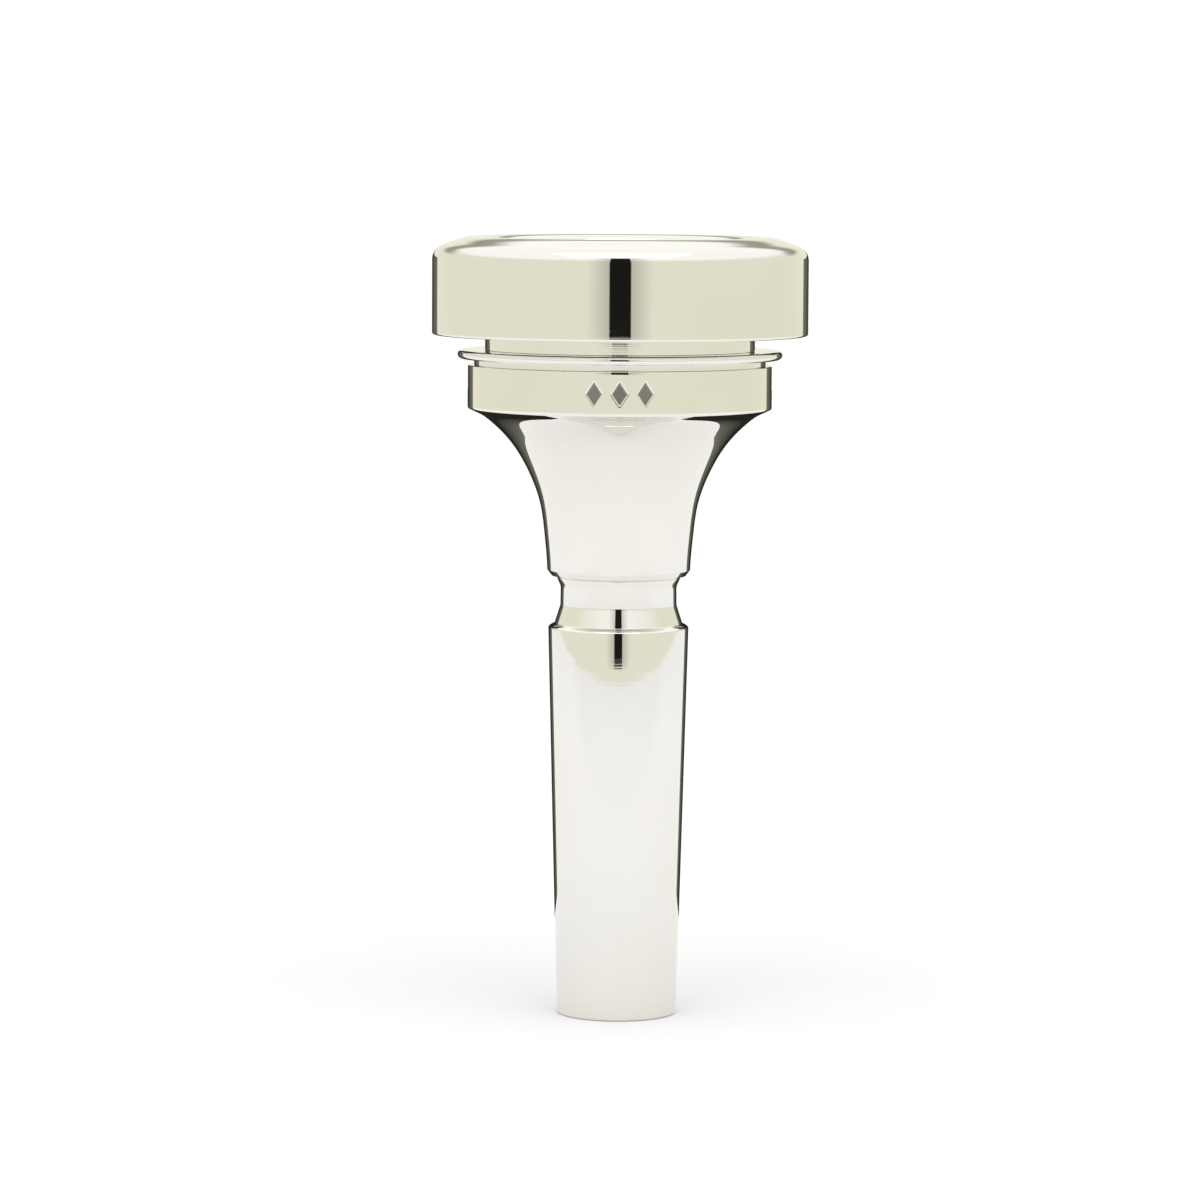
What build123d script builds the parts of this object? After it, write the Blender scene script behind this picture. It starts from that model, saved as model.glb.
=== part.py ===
from build123d import *
import os
from math import copysign, radians, tan

# Large-shank trombone mouthpiece in three screwed sections (rim, cup and shank) with O-rings in the joints.
# Millimetres. The shank's end face lies in the XY plane, centred on the origin, and +Z runs up to the rim.

os.makedirs("parts", exist_ok=True)

# Air way
bowl_radius = 12.7
bowl_depth_radius_drop = 0.06
bowl_foot_step = 0.08
throat_radius = 3.65
throat_length = 12.8
backbore_wall = 0.79

# Shank
shank_tip_radius = 6.24
shank_taper = 0.052
shank_length = 40.4
tip_rounding = 0.25
shoulder_height = 0.5
shoulder_bulge = 0.2
shoulder_bulge_drop = 0.08
flare_height = 1.9
flare_foot_bevel = 0.1
shank_neck_height = 1.8
collar_height = 1.25
collar_step = 0.38
# Point that the collar's side passes, as (share of its height, share of its step)
collar_bend = (0.5, 0.55)

# Rim
rim_width = 6.77
rim_height = 10.15
crest_drop = 2.4
crest_inset = 2.5
inner_bite_drop = 1.5
# Points that the crest passes, as (distance in from the side, drop below the crest)
inner_bite = (0.42, 0.5)
outer_slope = (1.8, 0.62)
outer_turn = (0.34, 1.4)
rim_bore_depth = 4.0
rim_edge_rounding = 0.25

# Cup outside, given as steps out from the bowl
cup_neck_wall = 1.3
cup_neck_height = 1.5
lip_wall = 4.17
lip_height = 0.9
lip_bulge = 0.41
groove_wall = 2.42
groove_height = 0.65
band_wall = 3.06
band_height = 4.5
band_edge = 0.2
funnel_height = 16.75
cup_foot_height = 0.6
cup_foot_inset = 0.45

# Funnel and bowl outlines as (share of the height, share of the width)
funnel_shape = (
    (0.0, 0.0),
    (0.21, 0.034),
    (0.41, 0.092),
    (0.6, 0.23),
    (0.8, 0.475),
    (0.9, 0.67),
    (0.98, 0.91),
)
bowl_shape = ((0.0, 0.0), (0.09, 0.055), (0.3, 0.4), (0.53, 0.74), (0.73, 0.94), (1.0, 1.0))

# Threads
flank_slope = tan(radians(30))
thread_run_share = 0.55
rim_pitch = 1.0
rim_thread_depth = 0.6
shank_pitch = 0.75
shank_thread_depth = 0.45
thread_root_share = 0.16
thread_flank_clearance = 0.08
thread_tip_clearance = 0.1
thread_sunk = 0.04

# Spigots and glands
seat_gap = 0.05
pilot_clearance = 0.05
rim_gland_wall = 0.6
rim_seal_section = 0.84
shank_seal_section = 0.66
seal_clearance = 0.03
gland_side_clearance = 0.16
gland_land = 0.35
pilot_edge = 0.15
shank_thread_length = 4.3
shank_thread_wall = 1.0
shank_pilot_wall = 0.78
stem_wall = 1.5
shank_neck_step = 0.14

# Maker's size mark, three lozenges on the band
mark_width = 1.7
mark_height = 2.6
mark_depth = 0.15
mark_cutter_length = 0.3
mark_spacing = 9.5

# Shank levels and radii
shoulder_radius = shank_tip_radius + shank_length * shank_taper / 2
shank_thread_root = throat_radius + shank_thread_wall
shank_thread_major = shank_thread_root + shank_thread_depth
pilot_radius = shank_thread_major + shank_pilot_wall
shank_neck_radius = pilot_radius + shank_neck_step
flare_radius = (shank_neck_radius + shoulder_radius) / 2
collar_radius = shank_neck_radius + collar_step
shoulder_top = shank_length + shoulder_height
flare_top = shoulder_top + flare_height
shank_neck_top = flare_top + shank_neck_height
shank_seat = shank_neck_top + collar_height
shank_gland_bottom = shank_seat + gland_land
shank_gland_top = shank_gland_bottom + shank_seal_section + 2 * gland_side_clearance
shank_pilot_top = shank_gland_top + gland_land
shank_top = shank_pilot_top + shank_thread_length
pilot_bore = pilot_radius + pilot_clearance
shank_gland_radius = pilot_bore - shank_seal_section - 2 * seal_clearance

# Cup levels and radii
cup_foot = shank_seat + seat_gap
bowl_foot = shank_top + seat_gap
funnel_bottom = cup_foot + cup_foot_height
band_bottom = funnel_bottom + funnel_height
band_top = band_bottom + band_height
lip_bottom = band_top + groove_height
lip_top = lip_bottom + lip_height
cup_neck_top = lip_top + cup_neck_height
rim_bottom = cup_neck_top + seat_gap
crest = rim_bottom + rim_height
rim_seat = crest - rim_bore_depth
spigot_top = rim_seat - seat_gap
stem_radius = pilot_bore + stem_wall
band_radius = bowl_radius + band_wall
bowl_top_radius = bowl_radius - bowl_depth_radius_drop
rim_gland_radius = bowl_top_radius + rim_gland_wall
rim_bore = rim_gland_radius + rim_seal_section + 2 * seal_clearance
spigot_radius = rim_bore - pilot_clearance
rim_gland_top = spigot_top - gland_land
rim_gland_bottom = rim_gland_top - rim_seal_section - 2 * gland_side_clearance
rim_thread_top = rim_gland_bottom - gland_land
rim_thread_root = spigot_radius + pilot_clearance
rim_thread_major = rim_thread_root + rim_thread_depth
rim_outer_radius = bowl_radius + rim_width


def thread_ridge(pitch, foot_radius, crest_radius, crest_flat, bottom, top):
    """Ridge along a right-hand helix from the XZ plane at the height bottom, its foot sunk in the wall.

    Some pitches make the sweep come out inside out, so it is turned the right way by its volume.
    """
    foot = foot_radius + copysign(thread_sunk, foot_radius - crest_radius)
    half_crest = crest_flat / 2
    half_foot = half_crest + abs(foot - crest_radius) * flank_slope
    with BuildPart() as ridge:
        with BuildLine() as lead:
            Helix(pitch, top - bottom, foot_radius, center=(0, 0, bottom))
        with BuildSketch(Plane.XZ):
            with BuildLine():
                Polyline(
                    (foot, bottom - half_foot),
                    (foot, bottom + half_foot),
                    (crest_radius, bottom + half_crest),
                    (crest_radius, bottom - half_crest),
                    close=True,
                )
            make_face()
        sweep(path=lead.wires()[0], is_frenet=True)
    solid = ridge.part.solid()
    return solid if solid.volume > 0 else Solid(solid.wrapped.Reversed())


def spigot_thread(pitch, root_radius, depth, bottom, top):
    """Thread on a spigot of the given root radius."""
    crest_flat = pitch * (1 - thread_root_share) - 2 * depth * flank_slope
    return thread_ridge(pitch, root_radius, root_radius + depth, crest_flat, bottom, top)


def bore_thread(pitch, root_radius, depth, bottom, top):
    """Thread in the bore that takes that spigot, with clearance on flanks and tips."""
    flank_gap = thread_flank_clearance * (1 + flank_slope**2) ** 0.5
    crest_flat = thread_root_share * pitch + 2 * thread_tip_clearance * flank_slope - 2 * flank_gap
    foot_radius = root_radius + depth + thread_tip_clearance
    crest_radius = root_radius + thread_tip_clearance
    return thread_ridge(pitch, foot_radius, crest_radius, crest_flat, bottom, top)


def outline(shape, low, high):
    """Points of a (height share, width share) outline between two (radius, height) corners."""
    return [
        (low[0] + width * (high[0] - low[0]), low[1] + height * (high[1] - low[1]))
        for height, width in shape
    ]


rim_nut_radius = rim_thread_major + thread_tip_clearance
rim_nut_top = rim_thread_top + seat_gap
rim_nut_start = rim_bottom + thread_run_share * rim_pitch
rim_bore_thread = bore_thread(
    rim_pitch,
    rim_thread_root,
    rim_thread_depth,
    rim_nut_start,
    rim_nut_top - thread_run_share * rim_pitch,
)

with BuildPart() as rim:
    with BuildSketch(Plane.XZ):
        with BuildLine():
            inner_side = Line((bowl_top_radius, rim_seat), (bowl_radius, crest - inner_bite_drop))
            inner_crest = Spline(
                inner_side @ 1,
                (bowl_radius + inner_bite[0], crest - inner_bite[1]),
                (bowl_radius + crest_inset, crest),
                tangents=((0, 1), (1, 0)),
            )
            outer_crest = Spline(
                inner_crest @ 1,
                (rim_outer_radius - outer_slope[0], crest - outer_slope[1]),
                (rim_outer_radius - outer_turn[0], crest - outer_turn[1]),
                (rim_outer_radius, crest - crest_drop),
                tangents=((1, 0), (0, -1)),
            )
            Polyline(
                outer_crest @ 1,
                (rim_outer_radius, rim_bottom + rim_edge_rounding),
                (rim_outer_radius - rim_edge_rounding, rim_bottom),
                (rim_nut_radius, rim_bottom),
                (rim_nut_radius, rim_nut_top),
                (rim_bore, rim_nut_top),
                (rim_bore, rim_seat),
                inner_side @ 0,
            )
        make_face()
    revolve(axis=Axis.Z)
    add(rim_bore_thread)
rim.part.label = "rim"
export_step(rim.part, "parts/rim.step")

shank_nut_radius = shank_thread_major + thread_tip_clearance
pilot_bore_top = shank_pilot_top + seat_gap
shank_nut_start = pilot_bore_top + thread_run_share * shank_pitch
mark_level = (band_bottom + band_top) / 2
bowl_corners = ((throat_radius + bowl_foot_step, bowl_foot), (bowl_top_radius, spigot_top))
bowl_outline = outline(bowl_shape, *bowl_corners)
rim_spigot_thread = spigot_thread(
    rim_pitch,
    rim_thread_root,
    rim_thread_depth,
    rim_nut_start + rim_pitch / 2,
    rim_thread_top - thread_run_share * rim_pitch,
)
shank_bore_thread = bore_thread(
    shank_pitch,
    shank_thread_root,
    shank_thread_depth,
    shank_nut_start,
    bowl_foot - thread_run_share * shank_pitch,
)

with BuildPart() as cup:
    with BuildSketch(Plane.XZ):
        with BuildLine():
            funnel = Spline(
                *outline(funnel_shape, (stem_radius, funnel_bottom), (band_radius, band_bottom)),
                tangents=((0.03, 1), (1, 0.36)),
            )
            band_foot = Line(funnel @ 1, (band_radius - band_edge, band_bottom))
            band = Polyline(
                band_foot @ 1,
                (band_radius, band_bottom + band_edge),
                (band_radius, band_top - band_edge),
                (band_radius - band_edge, band_top),
                (bowl_radius + groove_wall, band_top),
                (bowl_radius + groove_wall, lip_bottom),
                (bowl_radius + lip_wall - lip_height / 2, lip_bottom),
            )
            lip_edge = SagittaArc(
                band @ 1,
                (bowl_radius + lip_wall - lip_height / 2, lip_top),
                -lip_bulge,
            )
            spigot = Polyline(
                lip_edge @ 1,
                (bowl_radius + cup_neck_wall, lip_top),
                (bowl_radius + cup_neck_wall, cup_neck_top),
                (rim_thread_root, cup_neck_top + seat_gap),
                (rim_thread_root, rim_thread_top),
                (spigot_radius, rim_thread_top),
                (spigot_radius, rim_gland_bottom),
                (rim_gland_radius, rim_gland_bottom),
                (rim_gland_radius, rim_gland_top),
                (spigot_radius, rim_gland_top),
                (spigot_radius, spigot_top - pilot_edge),
                (spigot_radius - pilot_edge, spigot_top),
                (bowl_top_radius, spigot_top),
            )
            bowl = Spline(
                *reversed(bowl_outline),
                tangents=((0, -1), (-0.12, -1)),
            )
            Polyline(
                bowl @ 1,
                (shank_nut_radius, bowl_foot),
                (shank_nut_radius, pilot_bore_top),
                (pilot_bore, pilot_bore_top),
                (pilot_bore, cup_foot + pilot_edge),
                (pilot_bore + pilot_edge, cup_foot),
                (stem_radius - cup_foot_inset, cup_foot),
                funnel @ 0,
            )
        make_face()
    revolve(axis=Axis.Z)
    add(rim_spigot_thread)
    add(shank_bore_thread)
    for turn in (-mark_spacing, 0, mark_spacing):
        with BuildSketch(Plane.XZ.rotated((0, 0, turn)).offset(band_radius - mark_depth)):
            with BuildLine():
                Polyline(
                    (0, mark_level - mark_height / 2),
                    (mark_width / 2, mark_level),
                    (0, mark_level + mark_height / 2),
                    (-mark_width / 2, mark_level),
                    close=True,
                )
            make_face()
        extrude(amount=mark_cutter_length, mode=Mode.SUBTRACT)
cup.part.label = "cup"
export_step(cup.part, "parts/cup.step")

shank_spigot_thread = spigot_thread(
    shank_pitch,
    shank_thread_root,
    shank_thread_depth,
    shank_nut_start + shank_pitch / 2,
    shank_top - thread_run_share * shank_pitch,
)

with BuildPart() as shank:
    with BuildSketch(Plane.XZ):
        with BuildLine():
            outside = Polyline(
                (shank_tip_radius - backbore_wall, 0),
                (shank_tip_radius - tip_rounding, 0),
                (shank_tip_radius, tip_rounding),
                (shoulder_radius, shank_length),
            )
            shoulder = Spline(
                outside @ 1,
                (flare_radius + shoulder_bulge, shoulder_top - shoulder_bulge_drop),
                (flare_radius, shoulder_top),
                tangents=((0, 1), (-1, 0.3)),
            )
            flare_end = (shank_neck_radius + flare_foot_bevel, flare_top - flare_foot_bevel)
            flare = Line(shoulder @ 1, flare_end)
            neck = Polyline(flare @ 1, (shank_neck_radius, flare_top), (shank_neck_radius, shank_neck_top))
            collar = Spline(
                neck @ 1,
                (
                    shank_neck_radius + collar_bend[1] * collar_step,
                    shank_neck_top + collar_bend[0] * collar_height,
                ),
                (collar_radius, shank_seat - pilot_edge),
                tangents=((0, 1), (0.2, 1)),
            )
            spigot = Polyline(
                collar @ 1,
                (collar_radius - pilot_edge, shank_seat),
                (pilot_radius, shank_seat),
                (pilot_radius, shank_gland_bottom),
                (shank_gland_radius, shank_gland_bottom),
                (shank_gland_radius, shank_gland_top),
                (pilot_radius, shank_gland_top),
                (pilot_radius, shank_pilot_top - pilot_edge),
                (pilot_radius - pilot_edge, shank_pilot_top),
                (shank_thread_root, shank_pilot_top),
                (shank_thread_root, shank_top - pilot_edge),
                (shank_thread_root - pilot_edge, shank_top),
                (throat_radius, shank_top),
                (throat_radius, shank_top - throat_length),
            )
            Spline(
                spigot @ 1,
                (shank_tip_radius - backbore_wall, 0),
                tangents=((0, -1), (0.04, -1)),
            )
        make_face()
    revolve(axis=Axis.Z)
    add(shank_spigot_thread)
shank.part.label = "shank"
export_step(shank.part, "parts/shank.step")

with BuildPart() as rim_seal:
    with Locations((0, 0, (rim_gland_bottom + rim_gland_top) / 2)):
        Torus(rim_gland_radius + seal_clearance + rim_seal_section / 2, rim_seal_section / 2)
rim_seal.part.label = "rim_seal"
export_step(rim_seal.part, "parts/rim_seal.step")

with BuildPart() as shank_seal:
    with Locations((0, 0, (shank_gland_bottom + shank_gland_top) / 2)):
        Torus(shank_gland_radius + seal_clearance + shank_seal_section / 2, shank_seal_section / 2)
shank_seal.part.label = "shank_seal"
export_step(shank_seal.part, "parts/shank_seal.step")
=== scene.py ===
"""Screw-rim trombone mouthpiece: silver-plated rim, cup and shank, their two O-rings, and a studio."""

from math import atan2, cos, pi, radians, sin, tan
from types import SimpleNamespace

import bpy
import numpy as np
from bpy.props import FloatProperty, FloatVectorProperty, IntProperty, PointerProperty
from mathutils import Euler, Matrix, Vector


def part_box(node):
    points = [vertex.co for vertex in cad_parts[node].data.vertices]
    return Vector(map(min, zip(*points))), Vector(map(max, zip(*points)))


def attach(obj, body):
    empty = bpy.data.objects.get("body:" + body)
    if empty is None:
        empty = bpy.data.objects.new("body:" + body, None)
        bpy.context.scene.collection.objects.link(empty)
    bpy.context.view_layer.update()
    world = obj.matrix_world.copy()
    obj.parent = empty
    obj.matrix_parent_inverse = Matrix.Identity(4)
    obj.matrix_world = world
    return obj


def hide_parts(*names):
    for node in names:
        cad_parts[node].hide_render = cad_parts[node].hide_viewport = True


bl_info = {
    "name": "Screw-rim trombone mouthpiece",
    "version": (1, 0, 0),
    "blender": (4, 5, 0),
    "location": "View3D > Sidebar > Mouthpiece",
    "description": "Builds a silver-plated trombone mouthpiece in screwed sections, and its studio",
    "category": "Object",
}

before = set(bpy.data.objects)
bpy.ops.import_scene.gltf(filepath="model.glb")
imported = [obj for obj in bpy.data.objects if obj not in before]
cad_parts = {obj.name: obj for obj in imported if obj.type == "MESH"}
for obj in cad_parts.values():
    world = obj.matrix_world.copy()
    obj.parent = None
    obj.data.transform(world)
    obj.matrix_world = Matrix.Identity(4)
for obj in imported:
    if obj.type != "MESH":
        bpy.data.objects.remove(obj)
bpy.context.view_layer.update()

MM = 0.001
FRONT = 1.5 * pi
RIM_BOX, CUP_BOX, SHANK_BOX = (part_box(node) for node in ("rim", "cup", "shank"))
RIM_RADIUS = min(-RIM_BOX[0].x, RIM_BOX[1].x) / MM

# Clearances and lands in the two screwed joints, in millimetres
SEAT_GAP = 0.05
PILOT_CLEARANCE = 0.05
SEAL_CLEARANCE = 0.03
GLAND_SIDE = 0.16
GLAND_LAND = 0.35
SPIGOT_WALL = 1.0

# Roundings of the turned edges, in millimetres
SHARP = 0.0
KEEN_EDGE = 0.03
CRISP_EDGE = 0.05
FINE_EDGE = 0.06
GLAND_ROOT = 0.08
THROAT_EDGE = 0.1
SOFT_EDGE = 0.12
PILOT_EDGE = 0.15

# Threads, in millimetres or as shares of the pitch
FLANK_SLOPE = tan(radians(30))
ROOT_SHARE = 0.16
RUN_SHARE = 0.55
FLANK_CLEARANCE = 0.08
TIP_CLEARANCE = 0.1
RUN_OUT = 0.12

# Close rows that carry a thread or a mark, and the room left at their ends, in millimetres
FINE_ROW = 0.065
ROW_MARGIN = 0.05
LEAD_IN = 0.2
BAND_MARGIN = 0.22

# Directions that an outline leaves or arrives in, as (outward, upward)
UP, DOWN, OUTWARD = (0, 1), (0, -1), (1, 0)
FUNNEL_START, FUNNEL_END = (0.03, 1), (1, 0.36)
BOWL_END, BACKBORE_END = (-0.12, -1), (0.04, -1)
SHOULDER_END, COLLAR_END = (-1, 0.3), (0.2, 1)

# Places on the rim's top, as (distance in from the nearer side, drop below the crest), in millimetres
INNER_TURN, OUTER_SLOPE, OUTER_TURN = (0.42, 0.5), (1.8, 0.62), (0.34, 1.4)

# Funnel and bowl outlines as (share of the height, share of the width)
FUNNEL_SHAPE = (
    (0.0, 0.0), (0.21, 0.034), (0.41, 0.092), (0.6, 0.23), (0.8, 0.475), (0.9, 0.67), (0.98, 0.91),
)
BOWL_SHAPE = ((1.0, 1.0), (0.73, 0.94), (0.53, 0.74), (0.3, 0.4), (0.09, 0.055), (0.0, 0.0))

# How finely the meshes are divided, along their curves and round the axis
INNER_CREST_STEPS, OUTER_CREST_STEPS = 30, 36
FUNNEL_STEPS, BOWL_STEPS, BACKBORE_STEPS, SHOULDER_STEPS = 54, 50, 40, 16
BEAD_POINTS, BEAD_HALF_TURN = 15, radians(84)
RIM_COLUMNS, SHANK_COLUMNS, SEAL_COLUMNS, SEAL_STEPS, FLOOR_COLUMNS = 288, 224, 160, 48, 96
MARK_COLUMN, MARK_MARGIN, PLAIN_COLUMNS = radians(0.28), radians(2), 110


def length(name, description, default):
    """Length property whose default is given in millimetres."""
    return FloatProperty(
        name=name, description=description, default=default * MM, min=0.0, unit="LENGTH", subtype="DISTANCE"
    )


def angle(name, description, default):
    """Angle property whose default is given in degrees."""
    return FloatProperty(
        name=name, description=description, default=radians(default), unit="ROTATION", subtype="ANGLE"
    )


def colour(name, description, default, brightest=1.0):
    """Colour property."""
    return FloatVectorProperty(
        name=name, description=description, default=default, size=3, min=0.0, max=brightest, subtype="COLOR"
    )


def share(name, description, default):
    """Property from 0 to 1."""
    return FloatProperty(
        name=name, description=description, default=default, min=0.0, max=1.0, subtype="FACTOR"
    )


def in_mm(group):
    """A group's settings as plain numbers, lengths in millimetres."""
    plain = SimpleNamespace()
    for name, prop in group.bl_rna.properties.items():
        if prop.type == "FLOAT" and prop.unit == "LENGTH":
            setattr(plain, name, getattr(group, name) / MM)
        elif prop.type in ("FLOAT", "INT"):
            setattr(plain, name, getattr(group, name))
    return plain


class RimSizes(bpy.types.PropertyGroup):
    outer_radius: length("Outer radius", "Radius of the rim's band", RIM_RADIUS)
    bite_radius: length("Bite radius", "Radius of the opening just below the inner bite", 12.7)
    underside: length("Underside level", "Height of the rim's lower face", RIM_BOX[0].z / MM)
    crest: length("Crest level", "Height of the rim's highest line", RIM_BOX[1].z / MM)
    crest_inset: length("Crest inset", "Distance from the bite to the highest line", 2.5)
    inner_bite_drop: length("Inner bite drop", "Height over which the inner bite rounds over", 1.5)
    outer_drop: length("Outer drop", "Height over which the outside rounds over", 2.4)
    seat_depth: length("Seat depth", "Depth from the crest to the seat for the spigot", 4.0)
    edge_rounding: length("Edge rounding", "Rounding of the lower outside edge", 0.25)
    thread_pitch: length("Thread pitch", "Pitch of the rim's screw", 1.0)
    thread_depth: length("Thread depth", "Depth of the rim's screw", 0.6)


class CupSizes(bpy.types.PropertyGroup):
    foot: length("Foot level", "Height of the cup's lower face", CUP_BOX[0].z / MM)
    spigot_top: length("Spigot top level", "Height of the spigot's upper face", CUP_BOX[1].z / MM)
    stem_radius: length("Stem radius", "Outside radius at the foot of the funnel", 7.43)
    foot_height: length("Foot height", "Height of the bevel at the foot", 0.6)
    foot_inset: length("Foot inset", "Width of the bevel at the foot", 0.45)
    funnel_height: length("Funnel height", "Height of the waisted outside below the band", 16.75)
    band_radius: length("Band radius", "Radius of the band", 15.76)
    band_height: length("Band height", "Height of the band", 4.5)
    band_edge: length("Band edge", "Rounding of the band's edges", 0.2)
    groove_radius: length("Groove radius", "Radius at the root of the groove above the band", 15.12)
    groove_height: length("Groove height", "Height of the groove above the band", 0.65)
    lip_radius: length("Lip radius", "Radius of the bead above the groove", 16.83)
    lip_height: length("Lip height", "Height of the bead above the groove", 0.9)
    neck_radius: length("Neck radius", "Radius of the neck below the rim", 14.0)
    neck_height: length("Neck height", "Height of the neck below the rim", 1.5)
    gland_radius: length("Gland radius", "Radius at the root of the seal's groove", 13.24)
    bowl_radius: length("Bowl radius", "Radius of the bowl at its mouth", 12.64)
    bowl_foot_radius: length("Bowl foot radius", "Radius of the bowl where the throat starts", 3.73)


class MarkSizes(bpy.types.PropertyGroup):
    count: IntProperty(name="Lozenges", description="How many lozenges stand in the row", default=3, min=0)
    width: length("Width", "Width of a lozenge", 1.7)
    height: length("Height", "Height of a lozenge", 2.6)
    depth: length("Depth", "Depth of the cut", 0.15)
    wall: length("Wall", "Width of the sloping wall of the cut", 0.12)
    spacing: angle("Spacing", "Angle from one lozenge to the next", 9.5)


class ShankSizes(bpy.types.PropertyGroup):
    tip_radius: length("Tip radius", "Outside radius at the end of the taper", 6.24)
    tip_rounding: length("Tip rounding", "Rounding of the end's outer edge", 0.25)
    shoulder: length("Shoulder level", "Height where the taper ends", 40.4)
    shoulder_radius: length("Shoulder radius", "Outside radius at the top of the taper", 7.29)
    shoulder_height: length("Shoulder height", "Height over which the shoulder rounds over", 0.5)
    flare_radius: length("Flare radius", "Radius where the flare leaves the shoulder", 6.655)
    flare_height: length("Flare height", "Height of the flare", 1.9)
    neck_radius: length("Neck radius", "Radius of the neck above the flare", 6.02)
    neck_height: length("Neck height", "Height of the neck above the flare", 1.8)
    collar_radius: length("Collar radius", "Radius of the collar that the cup sits on", 6.4)
    collar_height: length("Collar height", "Height of the collar", 1.25)
    pilot_radius: length("Pilot radius", "Radius of the plain part of the spigot", 5.88)
    gland_radius: length("Gland radius", "Radius at the root of the seal's groove", 5.21)
    top: length("Spigot top level", "Height of the spigot's upper face", SHANK_BOX[1].z / MM)
    throat_radius: length("Throat radius", "Radius of the narrowest part of the bore", 3.65)
    throat_length: length("Throat length", "Length of the narrowest part of the bore", 12.8)
    mouth_radius: length("Mouth radius", "Radius of the bore at the end of the taper", 5.45)
    thread_pitch: length("Thread pitch", "Pitch of the shank's screw", 0.75)
    thread_depth: length("Thread depth", "Depth of the shank's screw", 0.45)


class SealSizes(bpy.types.PropertyGroup):
    rim_section: length("Rim seal section", "Thickness of the seal under the rim", 0.84)
    rim_ring_radius: length("Rim seal radius", "Radius of the rim seal's centre line", 13.69)
    shank_section: length("Shank seal section", "Thickness of the seal in the shank's joint", 0.66)
    shank_ring_radius: length("Shank seal radius", "Radius of the shank seal's centre line", 5.57)
    flash: length("Mould line", "Height of the line left by the mould", 0.012)


class PlateFinish(bpy.types.PropertyGroup):
    silver: colour("Silver", "Colour of clean silver plate", (0.815, 0.802, 0.765))
    warm_silver: colour("Warm silver", "Colour where the plate has yellowed a little", (0.80, 0.775, 0.71))
    tarnish: colour("Tarnish", "Colour held in the cuts of the mark", (0.10, 0.088, 0.062))
    polish: share("Polish", "Roughness of the polished plate", 0.012)
    haze: share("Haze", "Extra roughness in handled patches", 0.03)


class RubberFinish(bpy.types.PropertyGroup):
    rubber: colour("Rubber", "Colour of the seals", (0.016, 0.016, 0.017))
    bloom: colour("Bloom", "Colour of the dusty bloom on the rubber", (0.055, 0.054, 0.052))


class StudioSettings(bpy.types.PropertyGroup):
    camera_distance: length("Camera distance", "Distance from the mouthpiece's axis to the camera", 517.8)
    camera_height: length("Camera height", "Height of the camera above the floor", 91.5)
    camera_tilt: angle("Camera tilt", "Angle that the camera looks down", 5.32)
    camera_turn: angle("Camera turn", "Angle that the camera looks to the left", 0.213)
    camera_roll: angle("Camera roll", "Angle that the camera is rolled", 0.31)
    lens: FloatProperty(name="Lens", description="Focal length in millimetres", default=150, unit="CAMERA")
    floor_radius: length("Floor radius", "Radius of the round pale floor", 700)
    floor: colour("Floor", "Colour of the floor", (0.85, 0.85, 0.86))
    room: colour("Room", "Light of the room near the horizon", (0.91, 0.905, 0.765), brightest=2.0)
    ceiling: colour("Ceiling", "Light of the tent overhead", (1.16, 1.16, 1.15), brightest=2.0)
    slit_half_angle: angle("Slit half angle", "Half the width of the dark gap in the tent's front", 6.2)
    card_distance: length("Card distance", "How far the cards stand behind the mouthpiece's axis", 62)
    card_inner: length("Card inner edge", "Distance from the middle to a card's inner edge", 9)
    card_outer: length("Card outer edge", "Distance from the middle to a card's outer edge", 57)
    card_step: length("Card step", "Height of a card's inner part", 62)
    card_height: length("Card height", "Height of a card's outer part", 83)
    softbox_width: length("Softbox width", "Width of the softbox", 700)
    softbox_depth: length("Softbox depth", "Depth of the softbox", 500)
    softbox_height: length("Softbox height", "Height of the softbox above the floor", 750)
    softbox_forward: length("Softbox forward", "How far in front of the mouthpiece's axis it hangs", 250)
    softbox_aim: length("Softbox aim", "Height on the mouthpiece's axis that it points at", 50)
    softbox_power: FloatProperty(
        name="Softbox power", description="Power of the softbox", default=1.4, min=0.0, unit="POWER"
    )


class MouthpieceSettings(bpy.types.PropertyGroup):
    rim: PointerProperty(type=RimSizes)
    cup: PointerProperty(type=CupSizes)
    mark: PointerProperty(type=MarkSizes)
    shank: PointerProperty(type=ShankSizes)
    seals: PointerProperty(type=SealSizes)
    plate: PointerProperty(type=PlateFinish)
    rubber: PointerProperty(type=RubberFinish)
    studio: PointerProperty(type=StudioSettings)


def smooth_curve(points, start, end, steps):
    """Points of the cubic curve through the given ones that leaves along start and arrives along end."""
    points = np.array(points, float)
    knots = np.concatenate(([0], np.cumsum(np.linalg.norm(np.diff(points, axis=0), axis=1))))
    gaps = np.diff(knots)
    system, right = np.zeros((len(points),) * 2), np.zeros_like(points)
    system[0, 0] = system[-1, -1] = 1
    right[0], right[-1] = (np.array(way) / np.linalg.norm(way) for way in (start, end))
    for k in range(1, len(points) - 1):
        before, after = gaps[k - 1], gaps[k]
        come, go = points[k] - points[k - 1], points[k + 1] - points[k]
        system[k, k - 1 : k + 2] = after, 2 * (before + after), before
        right[k] = 3 * (after * come / before + before * go / after)
    slopes = np.linalg.solve(system, right)
    run = []
    for at in np.linspace(0, knots[-1], steps + 1):
        k = min(np.searchsorted(knots, at, "right") - 1, len(gaps) - 1)
        t = (at - knots[k]) / gaps[k]
        place = (
            (1 + 2 * t) * (1 - t) ** 2 * points[k]
            + t * (1 - t) ** 2 * gaps[k] * slopes[k]
            + t**2 * (3 - 2 * t) * points[k + 1]
            + t**2 * (t - 1) * gaps[k] * slopes[k + 1]
        )
        run.append((place[0], place[1], SHARP))
    return run


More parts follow.
